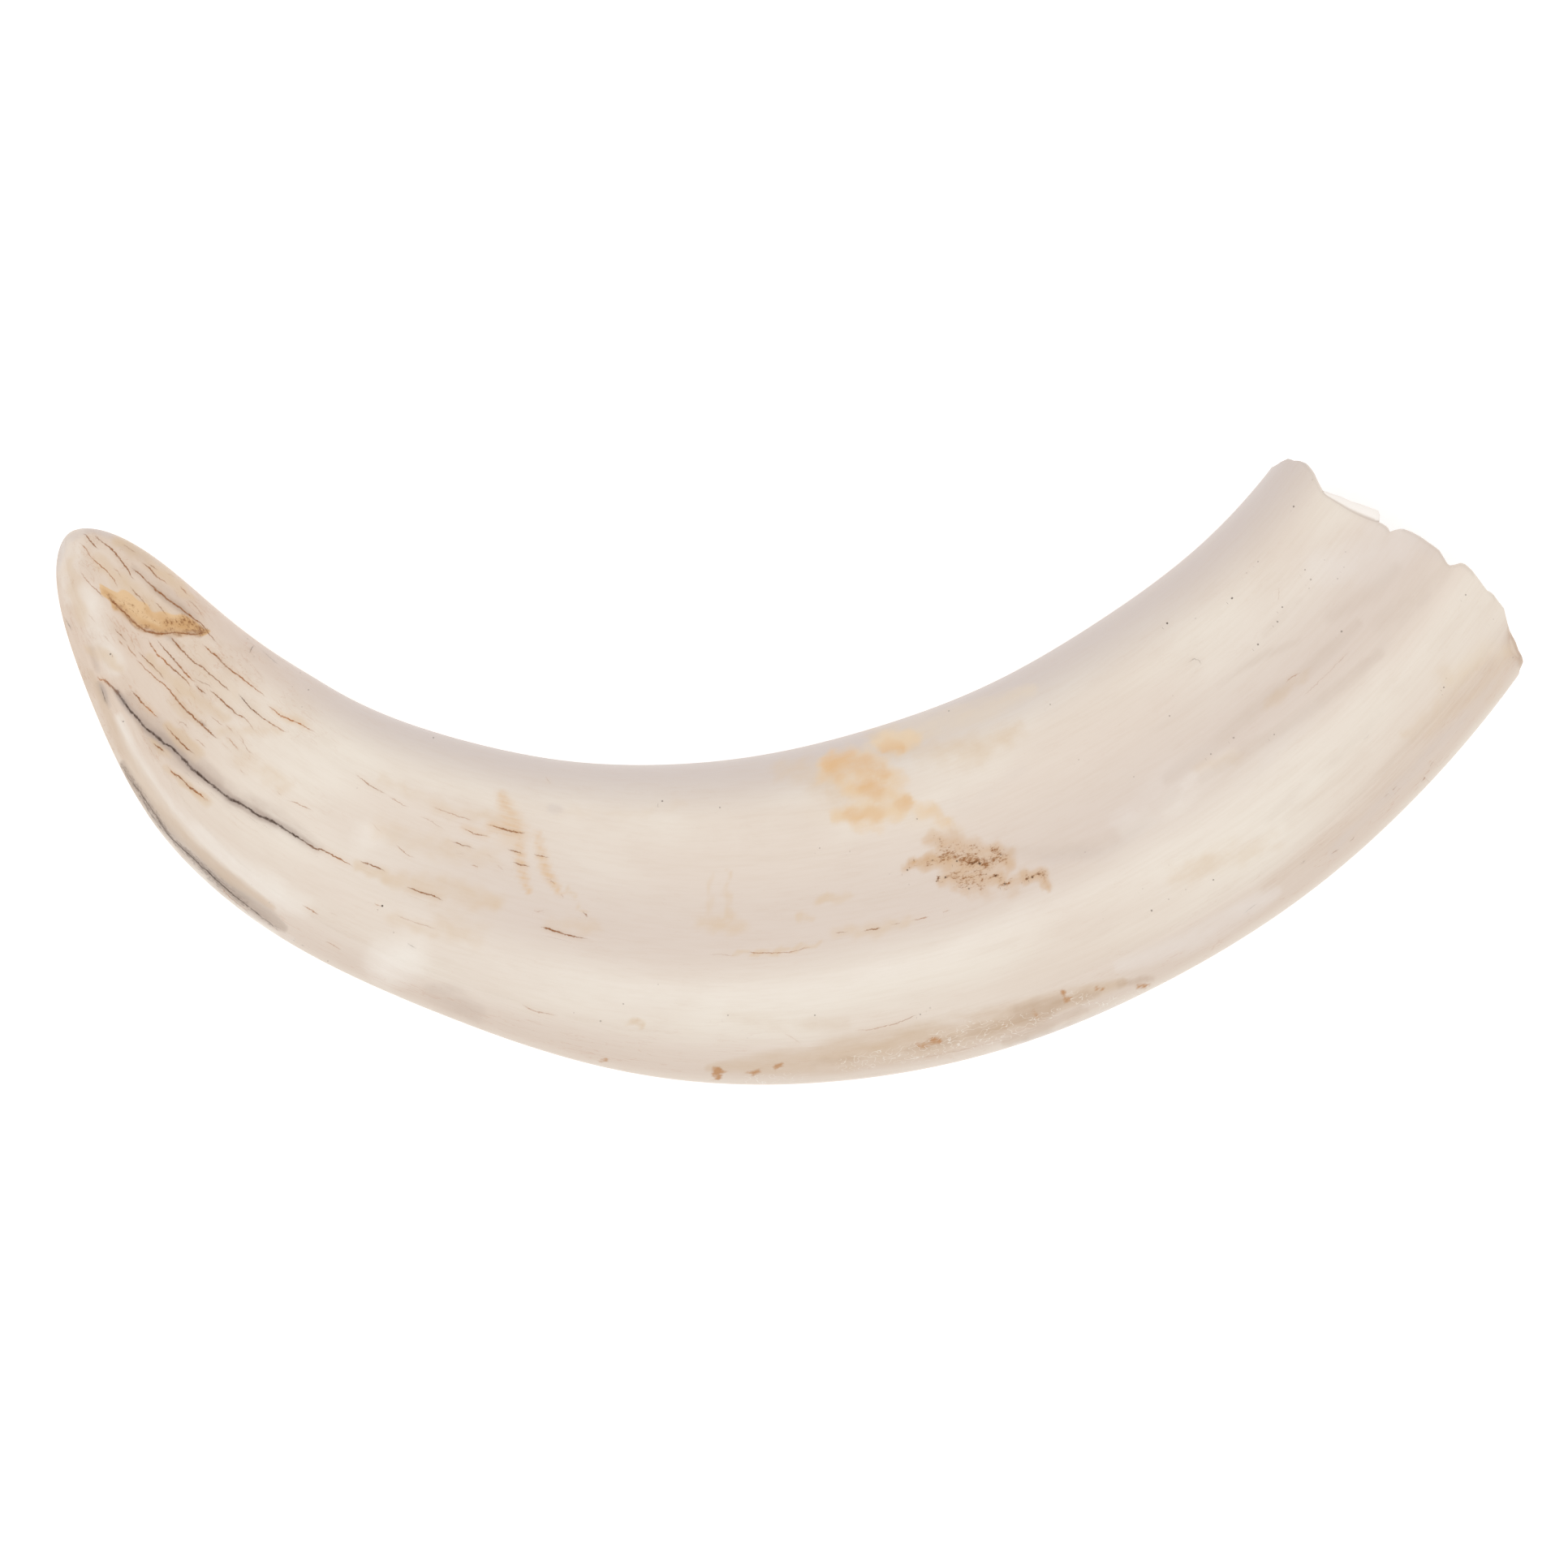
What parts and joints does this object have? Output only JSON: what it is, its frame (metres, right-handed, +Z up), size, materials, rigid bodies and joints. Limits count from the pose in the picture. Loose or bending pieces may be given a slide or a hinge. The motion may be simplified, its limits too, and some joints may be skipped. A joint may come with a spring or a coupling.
{
  "type": "warthog tusk",
  "caption": "Curved, slightly furrowed warthog tusk lying on its side, with a worn rounded tip and a hollow broken root.",
  "frame": {"origin": "on the surface that the tusk lies on, under the middle of its plan outline", "axes": "+X from the worn tip towards the open root, +Y into the hollow of the curve, +Z up from the surface"},
  "size_m": [0.1806, 0.0771, 0.0311],
  "materials": {
    "ivory": "satin"
  },
  "bodies": {
    "root": {"tusk": "ivory"}
  },
  "joints": []
}
